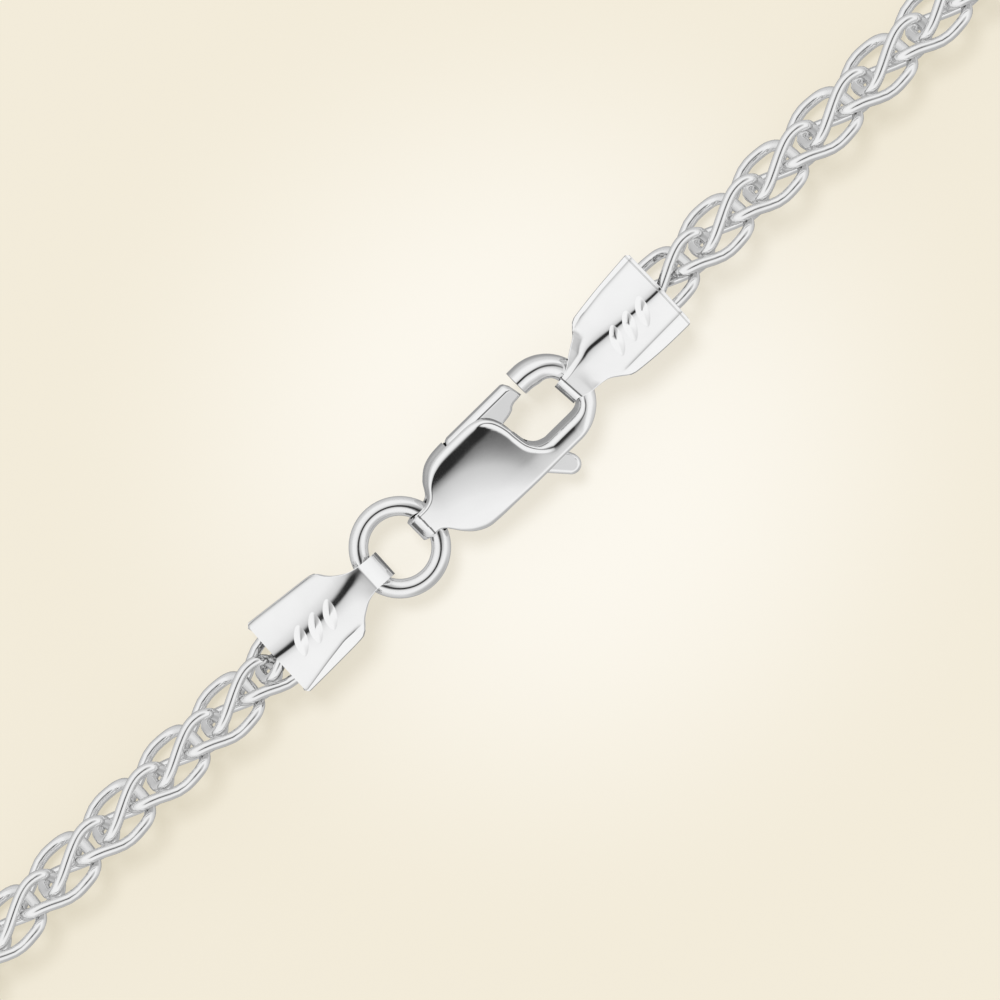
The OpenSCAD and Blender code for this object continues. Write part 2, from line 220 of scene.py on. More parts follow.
def grid_faces(rows, cols, start=0, round_rows=False, round_cols=False):
    """Four-sided faces between rows of points."""
    faces = []
    for i in range(rows if round_rows else rows - 1):
        for j in range(cols if round_cols else cols - 1):
            a, b = start + i * cols, start + (i + 1) % rows * cols
            k = (j + 1) % cols
            faces.append((a + j, b + j, b + k, a + k))
    return faces


def through(controls, steps):
    """Smooth line through its control points; the first and last only steer."""
    controls = np.asarray(controls, float)
    line = []
    for p, q, r, s in zip(controls, controls[1:], controls[2:], controls[3:]):
        for k in range(steps):
            t = k / steps
            line.append(0.5 * (2 * q + (r - p) * t + (2 * p - 5 * q + 4 * r - s) * t ** 2
                               + (3 * q - p - 3 * r + s) * t ** 3))
    line.append(controls[-2])
    return np.array(line)


def distance(points, line):
    """Shortest distance in plan from each point to a line of points."""
    best = np.full(len(points), 1e9)
    for start, span in zip(line[:-1], line[1:] - line[:-1]):
        t = np.clip(((points - start) @ span) / max(span @ span, 1e-12), 0, 1)
        best = np.minimum(best, np.hypot(*(points - start - t[:, None] * span).T))
    return best


def fallen(places, degrees, at):
    """Fall since the first place of a line whose slope is given at some places."""
    fine = np.linspace(places[0], places[-1], 2000)
    steps = np.tan(np.radians(np.interp(fine, places, degrees)))
    fall = np.concatenate([[0], np.cumsum((steps[1:] + steps[:-1]) / 2 * np.diff(fine))])
    return np.interp(at, fine, fall)


def spline(values, t):
    """Natural cubic spline through evenly spaced values, for t from 0 to 1."""
    values = np.asarray(values, float)
    n = len(values) - 1
    bends = np.zeros(n + 1)
    beside = np.ones(n - 2)
    bends[1:-1] = np.linalg.solve(np.diag(np.full(n - 1, 4.0)) + np.diag(beside, 1) + np.diag(beside, -1),
                                  6 * np.diff(values, 2))
    i = min(int(t * n), n - 1)
    a = t * n - i
    b = 1 - a
    return b * values[i] + a * values[i + 1] + ((b ** 3 - b) * bends[i] + (a ** 3 - a) * bends[i + 1]) / 6


# Chain

# Front ends of the first and the last link, along the chain from the mouth of the clasp's cap
FIRST_TOP = 1.685
LAST_TOP = CHAIN_L + 1.615
LINK_COUNT = round((LAST_TOP - FIRST_TOP) / PITCH) + 1
STEP = (LAST_TOP - FIRST_TOP) / (LINK_COUNT - 1)
LINK_L = 4.42
# Power of the link's squarish oval, and how much its height is stretched
LINK_ROUND = 2.83
LINK_RISE = 1.06
# Two families of links: half widths and turns from head to foot, sideways lean, and lead along the chain
FAMILIES = (
    ((1.84, 1.69, 1.48, 1.36, 1.58), (-36, -42, -40, -61, -74), (0.02, 0.02), 0.12),
    ((1.54, 1.25, 1.0, 1.01, 1.22), (-122, -128, -112, -81, -58), (-0.05, 0.08), -0.18),
)
# Length over which the chain comes down from the cap's middle to lie on the floor
SETTLE_L = 45.0


def loop_place(q):
    """Place and heading along the loop, from the middle of the clasp."""
    half = STRAIGHT_L / 2
    a = q - half
    b = a - BEND_L
    c = b - STRAIGHT_L
    d = c - BEND_L
    if a <= 0:
        return q, FRONT_Y, 0.0
    if b <= 0:
        turn = a / BEND_R
        return half + BEND_R * math.sin(turn), LOOP_Y - BEND_R * math.cos(turn), turn
    if c <= 0:
        return half - b, LOOP_Y + BEND_R, math.pi
    if d <= 0:
        turn = c / BEND_R
        return -half - BEND_R * math.sin(turn), LOOP_Y + BEND_R * math.cos(turn), math.pi + turn
    return -half + d, FRONT_Y, 2 * math.pi


def chain_z(s):
    """Height of the chain's middle."""
    from_cap = min(s, CHAIN_L - s)
    return CHAIN_W / 2 + (MID_Z - CHAIN_W / 2) * float(ease(1 - from_cap / SETTLE_L))


def link_line(family, count):
    """Wire line of one link: forward along the chain, left of it, and up, about its middle."""
    halves, turns, leans, _ = FAMILIES[family]
    points = []
    for i in range(count):
        a = 2 * math.pi * i / count
        c, s = math.cos(a), math.sin(a)
        back = (1 - math.copysign(abs(c) ** (2 / LINK_ROUND), c)) / 2
        half = math.copysign(abs(s) ** (2 / LINK_ROUND), s) * spline(halves, back)
        turn = math.radians(spline(turns, back))
        side = half * math.cos(turn) + leans[0] + (leans[1] - leans[0]) * back
        points.append((LINK_L * (0.5 - back), -side, -half * math.sin(turn) * LINK_RISE))
    return points


def link_tree(metal):
    """Sweeps each link's wire round its line, sets a link at every place, and makes one mesh of them."""
    tree = bpy.data.node_groups.new("wheat_chain_links", "GeometryNodeTree")
    face = tree.interface
    for label, kind in (("Places", "NodeSocketGeometry"), ("Wire diameter", "NodeSocketFloat"),
                        ("Wire sides", "NodeSocketInt"), ("Left link line", "NodeSocketObject"),
                        ("Right link line", "NodeSocketObject")):
        face.new_socket(label, in_out="INPUT", socket_type=kind)
    face.new_socket("Chain", in_out="OUTPUT", socket_type="NodeSocketGeometry")
    given = add(tree, "NodeGroupInput").outputs
    wire = add(tree, "GeometryNodeCurvePrimitiveCircle", {
        "Resolution": given["Wire sides"], "Radius": maths(tree, "MULTIPLY", given["Wire diameter"], 0.5)},
        mode="RADIUS")
    turn = add(tree, "GeometryNodeInputNamedAttribute", {"Name": "heading"}, data_type="FLOAT")
    aim = add(tree, "ShaderNodeCombineXYZ", {"Z": turn.outputs["Attribute"]})
    family = add(tree, "GeometryNodeInputNamedAttribute", {"Name": "family"}, data_type="FLOAT")
    chains = []
    for side, label in enumerate(("Left link line", "Right link line")):
        line = add(tree, "GeometryNodeObjectInfo", {"Object": given[label]}, transform_space="ORIGINAL")
        path = add(tree, "GeometryNodeMeshToCurve", {"Mesh": line.outputs["Geometry"]})
        link = add(tree, "GeometryNodeCurveToMesh", {"Curve": path.outputs["Curve"],
                                                     "Profile Curve": wire.outputs["Curve"]})
        mine = add(tree, "FunctionNodeCompare", {"A": family.outputs["Attribute"], "B": float(side),
                                                 "Epsilon": 0.1}, data_type="FLOAT", operation="EQUAL")
        chains.append(add(tree, "GeometryNodeInstanceOnPoints", {
            "Points": given["Places"], "Selection": mine.outputs["Result"],
            "Instance": link.outputs["Mesh"], "Rotation": aim.outputs[0]}).outputs["Instances"])
    joined = add(tree, "GeometryNodeJoinGeometry")
    for chain in chains:
        tree.links.new(chain, joined.inputs[0])
    real = add(tree, "GeometryNodeRealizeInstances", {"Geometry": joined.outputs[0]})
    coated = add(tree, "GeometryNodeSetMaterial", {"Geometry": real.outputs[0], "Material": metal})
    add(tree, "NodeGroupOutput", {"Chain": coated.outputs[0]})
    return tree


def line_object(name, family, count):
    """A closed line of points for the wire of one link, in metres."""
    return new_object(name, [tuple(MM * c for c in p) for p in link_line(family, count)], [],
                      [(i, (i + 1) % count) for i in range(count)])


def links(name, numbers, metal, node, around, sides):
    """The links with these numbers, as one mesh on the loop."""
    places, headings, families = [], [], []
    for k in numbers:
        family = k % 2
        mid = FIRST_TOP + k * STEP + FAMILIES[family][3] - LINK_L / 2
        x, y, turn = loop_place(mid + CLASP_HALF)
        places.append((x * MM, y * MM, chain_z(mid) * MM))
        headings.append(turn)
        families.append(float(family))
    chain = new_object(name, places, [])
    for label, values in (("heading", headings), ("family", families)):
        chain.data.attributes.new(label, "FLOAT", "POINT").data.foreach_set("value", values)
    tree = link_tree(metal)
    lines = [line_object(name + "_left_line", 0, around), line_object(name + "_right_line", 1, around)]
    sockets = {item.name: item.identifier for item in tree.interface.items_tree if item.in_out == "INPUT"}
    weave = chain.modifiers.new("weave", "NODES")
    weave.node_group = tree
    for label, value in (("Wire diameter", WIRE_D * MM), ("Wire sides", sides),
                         ("Left link line", lines[0]), ("Right link line", lines[1])):
        weave[sockets[label]] = value
    baked(chain)
    for line in lines:
        bpy.data.objects.remove(line)
    finish_mesh(chain.data, [metal], sharp=75)
    stand_for(chain, "necklace", node)


# End caps

# left, right, left_crease, right_crease, ridge: distance from the mouth, and how far aside of the cap's line
# soft: distance from the mouth, and how wide the ridge is rounded on its left and on its right
# level: where the strap begins and ends to lie flat, and how much crown it keeps on its left and right
# tilt: degrees by which the strap leans over on its left
# run, fall: distance from the mouth and slope in degrees of the strap's middle line; tip: its farthest point
# grains: middle of the three grains; shelf: how level the sheet is beside the folded edge of the strap
# groove: whether the mouth has a rolled groove, whose floor gets painted shade; ledge: where a dark line of
# painted shade crosses the strap, if anywhere
# skew: how far the mouth is out of square
RING_CAP = {
    "left": ((-0.1, 2.25), (0, 2.25), (2, 2.1), (3.7, 1.97), (4.05, 1.84), (4.35, 1.46), (4.64, 1.2),
             (5.14, 0.9), (5.73, 0.75), (6.4, 0.7), (7, 0.7)),
    "right": ((-0.1, 2.14), (0, 2.14), (2, 2.04), (3.7, 1.92), (4.05, 1.7), (4.35, 1.36), (4.64, 1.13),
              (5.14, 0.83), (5.73, 0.71), (6.4, 0.7), (7, 0.7)),
    "left_crease": ((0, 2.2), (7, 2.2)),
    "right_crease": ((0, 2.06), (0.5, 1.96), (1.7, 1.71), (3.0, 1.48), (4.2, 1.48), (7, 1.48)),
    "ridge": ((-0.1, 0.15), (0, 0.15), (1, 0.07), (2.5, 0.08), (3.9, 0.17), (5, 0.39), (5.7, 0.54),
              (6.5, 0.58), (7, 0.6)),
    "soft": ((0, 0.5, 0.25), (3, 0.7, 0.45), (4.5, 0.8, 0.55), (5.1, 0.5, 0.4), (5.7, 0.15, 0.15)),
    "level": (4.3, 5.8, 0.3, 0.3),
    "tilt": 0.0,
    "run": (4, 4.9, 5.4, 5.78, 5.88, 6.3, 6.6, 6.75, 6.84),
    "fall": (0, 0.5, 3.5, 5.5, 30, 33, 36, 55, 70),
    "tip": 6.925,
    "grains": (2.4, -0.08),
    "shelf": 0.0,
    "groove": False,
    "ledge": None,
    "skew": 0.0,
}
CLASP_CAP = {
    "left": ((-0.1, 2.34), (0, 2.34), (2, 2.18), (3.7, 1.92), (4.05, 1.77), (4.35, 1.52), (4.8, 1.17),
             (5.3, 1.02), (5.9, 0.93), (6.3, 0.8), (6.6, 0.66), (7, 0.62)),
    "right": ((-0.1, 2.14), (0, 2.14), (2, 2.12), (3.64, 2.03), (4.0, 1.93), (4.48, 1.5), (4.9, 1.27),
              (5.3, 1.05), (5.8, 0.76), (6.2, 0.6), (6.6, 0.56), (7, 0.56)),
    "left_crease": ((0, 1.72), (4.06, 1.5), (7, 1.4)),
    "right_crease": ((0, 1.9), (2, 1.93), (3.64, 1.84), (4.4, 1.7), (7, 1.4)),
    "ridge": ((-0.1, 0.18), (0, 0.18), (1, 0.08), (2.4, -0.15), (3.7, -0.39), (4.5, -0.52), (5.1, -0.42),
              (6, -0.33), (7, -0.3)),
    "soft": ((0, 0.15, 0.3), (2.6, 0.2, 0.3), (3.7, 0.35, 0.4), (4.5, 0.4, 0.2), (5.2, 0.25, 0.12),
             (5.7, 0.12, 0.06), (6, 0.04, 0.03)),
    "level": (4.9, 5.9, 0.0, 0.8),
    "tilt": 6.0,
    "run": (4, 4.6, 5.2, 5.6, 6.34, 6.37, 6.44, 6.48, 6.65, 6.77, 6.81),
    "fall": (0, 2, 6, 8, 9, 2, 2, 28, 38, 60, 70),
    "tip": 6.875,
    "grains": (2.33, 0.24),
    "shelf": 1.0,
    "groove": True,
    "ledge": (6.37, 6.43),
    "skew": 0.1,
}

MOUTH_CORNER = 0.13
CROWN_SLOPE = math.tan(math.radians(17))
EDGE_SLOPE = math.tan(math.radians(23))
# How the face flattens in the last quarter of a millimetre before a crease
CREASE_RUN = (0.0, 0.05, 0.13, 0.22)
CREASE_FALL = (14, 14, 6, 0)
CREASE_RISE = tuple(fallen(CREASE_RUN, CREASE_FALL, CREASE_RUN[-1])
                    - fallen(CREASE_RUN, CREASE_FALL, CREASE_RUN))
# Places of the columns beside a crease, of the rows at the mouth, and of the rows down a side wall
CREASE_COLUMNS = np.array([0, 0.03, 0.07, 0.12, 0.18, 0.25])
MOUTH_ROWS = (0, 0.03, 0.07, 0.1, 0.12, 0.14, 0.17, 0.21, 0.3)
WALL_ROWS = (0.7, 0.35, 0, -0.35, -0.7)
WALL_BULGE = 0.04
GROOVE_DEPTH = 0.05
# Span of the groove's floor at the mouth that gets the satin metal, darker as painted shade
GROOVE_SHADE_FLOOR = (0.12, 0.17)
STRAP_STEP = 0.04
STRAP_TURNS = (15, 30, 45, 60, 75, 90)


def smooth_line(controls, corner=0.0):
    """A line given by points, with a round corner of this radius at the cap's mouth."""
    line = through(controls, 8)

    def at(x):
        near = min(max(1 - x / corner, 0.0), 1.0) if corner else 0.0
        return float(np.interp(x, line[:, 0], line[:, 1])) - corner * near ** 2

    return at


def cap_front(cap):
    """Height of the cap's front over its side line, as a function of place, and the columns across it."""
    ridge = smooth_line(cap["ridge"])
    sides = [smooth_line(cap["left"], MOUTH_CORNER), smooth_line(cap["right"], MOUTH_CORNER)]
    tilt = math.tan(math.radians(cap["tilt"]))
    creases = [cap["left_crease"], cap["right_crease"]]
    soft = np.array(cap["soft"])

    def crease(x, k):
        return min(float(np.interp(x, *zip(*creases[k]))), sides[k](x) - 0.02)

    def height(x, y):
        k = 0 if y > 0 else 1
        edge = crease(x, k)
        within = min(abs(y), edge)
        off = within * (1 if k == 0 else -1) - ridge(x)
        reach = float(np.interp(x, soft[:, 0], soft[:, 1 if off > 0 else 2]))
        run = abs(off)
        fall = CROWN_SLOPE * (run - reach * (1 - math.exp(-run / reach)))
        # Beyond the strap's folded edge on the clasp side the sheet runs on almost level
        if off < 0:
            folded = float(np.interp(x, (4.1, 4.5, 5.0), (0.65, 0.45, 0.26)))
            past_box = float(ease((x - CAP_BOX_L) / 0.4))
            fall -= cap["shelf"] * 0.2 * max(0.0, run - folded) * past_box
        # The strap is flatter than the box, and leans over with the bow that it holds
        start, end, kept_left, kept_right = cap["level"]
        strap = float(ease((x - start) / (end - start)))
        fall *= 1 - (1 - (kept_left if off > 0 else kept_right)) * strap
        fall += tilt * max(0.0, off) * strap
        # The creases fade out just before the shoulder
        fall -= float(np.interp(edge - within, CREASE_RUN, CREASE_RISE) * (1 - ease((x - 3.9) / 0.4)))
        fall += EDGE_SLOPE * max(0.0, abs(y) - edge)
        if cap["groove"]:
            fall += GROOVE_DEPTH * float(ease((x - 0.1) / 0.04) * (1 - ease((x - 0.16) / 0.05)))
        return -fall

    def columns(x):
        """Places across the front, close together at the creases and at the ridge."""
        left, right = crease(x, 0), -crease(x, 1)
        tight = CREASE_COLUMNS * min(1.0, (left - right) / 3)
        middle = min(max(ridge(x), right + tight[-1] + 0.05), left - tight[-1] - 0.05)
        spread = np.linspace(0, 1, 20) ** 1.5
        rising = middle - (middle - right - tight[-1]) * spread[::-1]
        falling = middle + (left - tight[-1] - middle) * spread
        return np.concatenate([np.linspace(-sides[1](x), right, 5)[:-1], right + tight[:-1], rising,
                               falling[1:], (left - tight[:-1])[::-1], np.linspace(left, sides[0](x), 5)[1:]])

    return height, columns


def end_cap(name, place, cap, metals, node):
    """Folded sheet: a crowned box open at the chain, and a strap that goes round the wire and back."""
    height, columns = cap_front(cap)
    level = CAP_T / 2
    points = []
    box_x = list(MOUTH_ROWS) + list(np.linspace(0.5, CAP_BOX_L, 17))
    for x in box_x:
        across = columns(x)
        front = [(x, y, level + height(x, y)) for y in across]
        back = [(x, y, -z) for x, y, z in front[::-1]]
        walls = []
        for end in (front[-1], front[0]):
            bulge = math.copysign(WALL_BULGE, end[1])
            walls.append([(x, end[1] + bulge * (1 - h * h), end[2] * h) for h in WALL_ROWS])
        section = front + walls[0] + back + walls[1][::-1]
        points += section
    cols = len(across)
    ring_n = len(section)
    faces = grid_faces(len(box_x), ring_n, round_cols=True)
    seam = (len(box_x) - 1) * ring_n
    # The strap's front, its turn round the wire, and its back
    run_end = cap["run"][-1]
    run_x = list(np.arange(CAP_BOX_L + STRAP_STEP, run_end, STRAP_STEP)) + [run_end]
    run_z = level - fallen(cap["run"], cap["fall"], np.array(run_x))
    side_line = list(zip(run_x, run_z))
    for t in np.radians(STRAP_TURNS):
        side_line.append((run_end + (cap["tip"] - run_end) * math.sin(t), run_z[-1] * math.cos(t)))
    rows = []
    for x, z in side_line:
        keep = float(ease((z - 0.1) / 1.0)) if x > CAP_REACH else 1.0
        rows.append([(x, y, max(z + height(x, y) * keep, 0.0)) for y in columns(x)])
    whole = rows + [[(x, y, -z) for x, y, z in line] for line in rows[-2::-1]]
    base = len(points)
    for line in whole:
        points += line
    faces += grid_faces(len(whole), cols, base)
    # The strap's two ends join the box's front and back
    last = base + (len(whole) - 1) * cols
    under = seam + cols + len(WALL_ROWS)
    for j in range(cols - 1):
        faces.append((seam + j, base + j, base + j + 1, seam + j + 1))
        faces.append((under + cols - 1 - j, under + cols - 2 - j, last + j + 1, last + j))
    thing = new_object(name, points, faces)
    outwards(thing.data)
    sheet = thing.modifiers.new("sheet", "SOLIDIFY")
    sheet.thickness = SHEET_T
    sheet.offset = -1
    baked(thing)
    grains(thing.data, cap["grains"], lambda x, y: level + height(x, y))
    for metal in metals:
        thing.data.materials.append(metal)
    # Painted shade: the groove's floor at the mouth gets the darker satin metal, and the strap's end and its
    # ledge get dark lines of the painted-shade metal
    for face in thing.data.polygons:
        x, y, z = face.center
        on_front = z > 0.5
        if cap["groove"] and on_front and GROOVE_SHADE_FLOOR[0] < x < GROOVE_SHADE_FLOOR[1]:
            face.material_index = SATIN_AND_SHADE
        if x > run_end or (cap["ledge"] and on_front and cap["ledge"][0] < x < cap["ledge"][1]):
            face.material_index = PAINTED_SHADE
    for vertex in thing.data.vertices:
        x, y, z = vertex.co
        vertex.co.x = x + cap["skew"] * y * max(0.0, 1 - x / CAP_BOX_L) ** 2
    settle(thing, place, metals, "necklace", node, sharp=20)


GRAIN_HALF_L = 0.8
GRAIN_HALF_W = 0.34
GRAIN_RISE = 0.15
GRAIN_SINK = 0.03
GRAIN_GAP = 0.93
GRAIN_SLANT = math.radians(62)
GRAIN_RINGS = (1.0, 0.96, 0.88, 0.76, 0.62, 0.46, 0.3, 0.16, 0.05)
GRAIN_SIDES = 40


def grains(mesh, middle, height):
    """Three slanted grains in low relief on the front face."""
    work = bmesh.new()
    work.from_mesh(mesh)
    for i in (-1, 0, 1):
        rings = []
        for r in GRAIN_RINGS:
            ring = []
            for k in range(GRAIN_SIDES):
                a = 2 * math.pi * k / GRAIN_SIDES
                along = GRAIN_HALF_L * r * math.cos(a)
                across = GRAIN_HALF_W * r * math.sin(a) * (1 - 0.25 * math.cos(a) ** 2)
                x = middle[0] + i * GRAIN_GAP + along * math.cos(GRAIN_SLANT) - across * math.sin(GRAIN_SLANT)
                y = middle[1] + along * math.sin(GRAIN_SLANT) + across * math.cos(GRAIN_SLANT)
                rise = -GRAIN_SINK if r == 1.0 else GRAIN_RISE * (1 - r) ** 0.85
                ring.append(work.verts.new((x, y, height(x, y) + rise)))
            rings.append(ring)
        stacked(work, rings)
    work.to_mesh(mesh)
    work.free()


def stacked(work, rings):
    """Closes a stack of rings of points into a solid."""
    n = len(rings[0])
    for low, high in zip(rings, rings[1:]):
        for k in range(n):
            work.faces.new((low[k], low[(k + 1) % n], high[(k + 1) % n], high[k]))
    work.faces.new(rings[-1])
    work.faces.new(rings[0][::-1])


# Clasp, about the middle of its bow: the tail lies towards -X and the gate towards +Y

# Heights of the body's front and of the bow's crest over the middle plane
FRONT_Z = 1.25
BOW_Z = 1.12
BOW_END_X = -0.42
TAIL_END_X = -8.88
BOW_STEPS = 60
WAY_STEPS = 6
TAIL_STEPS = 30
# Columns across the front: close together on the rounded rims, at most this wide, and even between them
RIM_W = 0.42
RIM_SHARE = 0.34
RIM_STEPS = 9
FRONT_STEPS = 25
WALL_LAYERS = 9
ROUND_SIDES = 48
HUB_SIDES = 40
# Where the tail has a small flat before it bends round the ring; its faces get a dark line of painted shade
TAIL_LEDGE_SHADE_LINE = (-8.285, -8.205)
GATE_ROOM_HALF_T = 0.78
TRIGGER_ROOM_HALF_T = 0.58
HUB_ROOM_HALF_T = 0.77
HUB_ROOM_R = 0.93
HUB_R = 0.85
TAIL_HOLE_R = 0.68
TRIGGER_TIP = (-1.24, -2.92)
TRIGGER_TIP_R = 0.5

# Inner and outer edge of the body from the opening round to the tail, matched point by point
INNER_WAY = (
    (-0.8, -1.25), (-1.2, -1.25), (-1.72, -1.06), (-2.06, -0.62), (-2.18, 0.0), (-2.22, 0.45), (-2.33, 0.95),
    (-2.56, 1.45), (-2.95, 1.83), (-3.5, 2.0), (-4.4, 2.03), (-5.3, 2.03), (-5.9, 1.96), (-6.4, 1.76),
    (-6.85, 1.36), (-7.25, 0.86), (-7.6, 0.67), (-7.95, 0.62), (-8.3, 0.61))
OUTER_WAY = (
    (-1.0, -2.3), (-1.35, -2.3), (-1.65, -2.3), (-1.95, -2.3), (-2.25, -2.3), (-2.55, -2.3), (-2.85, -2.3),
    (-3.15, -2.3), (-3.5, -2.3), (-3.9, -2.3), (-4.6, -2.3), (-5.4, -2.3), (-6.15, -2.24), (-6.75, -1.94),
    (-7.2, -1.48), (-7.55, -0.98), (-7.8, -0.72), (-8.05, -0.63), (-8.4, -0.61))
# Slopes in degrees: across the body from right to left, and along it towards the tail's bent end
ACROSS = ((-2.4, -2.1, -1.2, 0.0, 1.15, 1.75, 2.1), (-2, -0.5, 3.2, 4.0, 4.4, 12, 15))
TAIL = ((0, 6.8, 7.4, 7.9, 8.18, 8.21, 8.28, 8.32, 8.5, 8.7, 8.86, 8.9),
        (0, 0, 6, 10, 12, 3, 3, 25, 36, 52, 75, 80))
# How far the inner side wall stands out, from the tail to the bow
INNER_PROUD = ((-7.5, -6.9, -3.8, -3.0, -2.6, -1.3, 0.4, 0.9),
               (0.03, 0.15, 0.15, 0.05, 0.1, 0.05, 0.05, 0.04))
# Rooms cut out of the body for the gate and for the trigger
GATE_ROOM = ((-4.98, -1.25), (-2.8, -1.25), (-2.4, -0.6), (-2.0, -0.72), (-1.2, -0.8), (-1.2, 3.5),
             (-4.98, 3.5))
TRIGGER_ROOM = ((-4.98, -3.3), (-0.95, -3.3), (-0.95, -2.12), (-1.65, -1.6), (-2.2, -1.15), (-2.25, -0.5),
                (-2.25, 0.2), (-4.98, 0.2))
# Outlines of the lever's two arms
GATE = ((-4.9, 0.53), (-4.9, 1.98), (-4.82, 2.1), (-4.65, 2.17), (-1.02, 2.17), (-0.9, 2.1), (-0.74, 1.82),
        (-0.62, 1.22), (-0.85, 1.19), (-1.15, 1.17), (-1.34, 1.1), (-1.45, 0.99), (-1.6, 0.93), (-1.8, 0.87),
        (-2.35, 0.8), (-2.35, 0.0), (-4.39, -0.22))
TRIGGER_RIGHT = ((-4.49, 1.03), (-2.35, 0.3), (-2.35, -0.6), (-2.3, -1.3), (-1.75, -1.75), (-1.12, -2.2),
                 (-0.93, -2.4))
TRIGGER_LEFT = ((-2.46, -2.3), (-3.2, -1.2), (-3.94, -0.42), (-4.89, -0.22))
# Insets and half thicknesses from an arm's edge to its flat face
GATE_PROFILE = ((0, 0.45), (0.04, 0.5), (0.12, 0.57), (0.2, 0.63), (0.25, 0.66), (0.28, 0.67), (0.34, 0.678),
                (0.37, 0.675), (0.42, 0.675))
TRIGGER_PROFILE = ((0, 0.3), (0.03, 0.38), (0.08, 0.45), (0.13, 0.485), (0.18, 0.5), (0.23, 0.5))
HUB_PROFILE = ((0, 0.64), (0.05, 0.69))


def clasp_matrix():
    """The clasp's place: rolled over on the chain's line by the bow that the cap holds."""
    return Matrix.Translation((BOW_X, CLASP_Y, MID_Z)) @ Matrix.Rotation(ROLL, 4, "X")


def clasp_edges():
    """Inner and outer edge of the clasp's front, matched point by point from the bow's end to the tail."""
    inner, outer = [], []
    for t in np.linspace(0, 1, 6)[:-1]:
        inner.append((BOW_END_X - BOW_END_X * t, 1.12 - 0.02 * t))
        outer.append((BOW_END_X - BOW_END_X * t, BOW_R))
    for k in range(BOW_STEPS + 1):
        turn = 90 - 180 * k / BOW_STEPS
        c, s = math.cos(math.radians(turn)), math.sin(math.radians(turn))
        squared = BOW_INNER / (c ** 4 + s ** 4) ** 0.25
        r = squared * np.interp(turn, (5, 25, 45, 70, 90), (1, 0.92, 0.84, 0.82, 0.88))
        inner.append((r * c, r * s))
        outer.append((BOW_R * c, BOW_R * s))
    for t in np.linspace(0, 1, 8)[1:-1]:
        inner.append((INNER_WAY[1][0] * t, -BOW_INNER))
        outer.append((OUTER_WAY[1][0] * t, -BOW_R))
    inner += [tuple(p) for p in through(INNER_WAY, WAY_STEPS)]
    outer += [tuple(p) for p in through(OUTER_WAY, WAY_STEPS)]
    # The tail narrows a little at its bent end
    (x_in, y_in), (x_out, y_out) = inner[-1], outer[-1]
    for t in np.linspace(0, 1, TAIL_STEPS + 1)[1:]:
        inner.append((x_in + (TAIL_END_X - x_in) * t, y_in - 0.07 * t ** 4))
        outer.append((x_out + (TAIL_END_X - x_out) * t, y_out + 0.08 * t ** 4))
    return np.array(inner), np.array(outer)


def clasp_top(x, y, d_in, d_out):
    """Height of the clasp's front: a tightly crowned bow and a broad body crowned across its width."""
    # Share of the bow's shape: its end and upper arm are round, and the lower arm keeps the body's flat front
    bow = 1 - np.where(y < 0, ease((1.5 - x) / 1.5), ease((-1.1 - x) / 1.1))
    # The bow is an arc across the wire, whose crest lies nearer the inner edge on the lower arm
    half = np.maximum((d_in + d_out) / 2, 0.3)
    peak = half * np.interp(y, (-1.2, 1.2), (0.8, 1.05))
    off = half * np.where(d_in < peak, (peak - d_in) / peak, (d_in - peak) / np.maximum(2 * half - peak, 0.1))
    arc = 1.07 * half
    tight = BOW_Z - (arc - np.sqrt(np.maximum(arc ** 2 - off ** 2, 0)))
    # The body falls away across its width and at the tail's end, and is crowned more towards the tail
    level = FRONT_Z - fallen(*ACROSS, y) + fallen(*ACROSS, -0.4) - fallen(*TAIL, -x)
    bend = np.radians(6) * (1 - ease((x + 7.2) / 4.7))
    level = level - bend * np.minimum(0, y - 1.15) ** 2 / 2 + bend * 0.6
    # The rim of the opening stands up a little, and its crest moves inwards to meet the bow's
    crest = np.interp(x, (-2.1, -1.9, -1.6, -1.2), (0.14, 0.18, 0.28, 0.36))
    into_bow = ease((x + 2.0) / 0.8)
    near_opening = ease((x + 3.5) / 0.9)
    rim = 0.07 * near_opening * (1 - into_bow)
    lip_in = np.interp(x, (-7.5, -6.9, -6.1), (0.12, 0.15, 0.32)) * (1 - near_opening) + crest * near_opening
    drop_in = np.minimum(lip_in, 0.25)
    lip_out = np.interp(x, (-7.5, -6.5), (0.12, 0.2))
    for d, lip, drop in ((d_in, lip_in, drop_in), (d_out, lip_out, lip_out)):
        near_edge = np.clip((lip - d) / lip, 0, 1)
        level = level - drop * (1 - np.sqrt(1 - near_edge ** 2))
    shoulder = 0.11 * into_bow * np.maximum(0, 0.75 - d_in) ** 2
    level = level + rim * (1 - ease((d_in - crest) / 0.21)) - shoulder
    return bow * tight + (1 - bow) * level


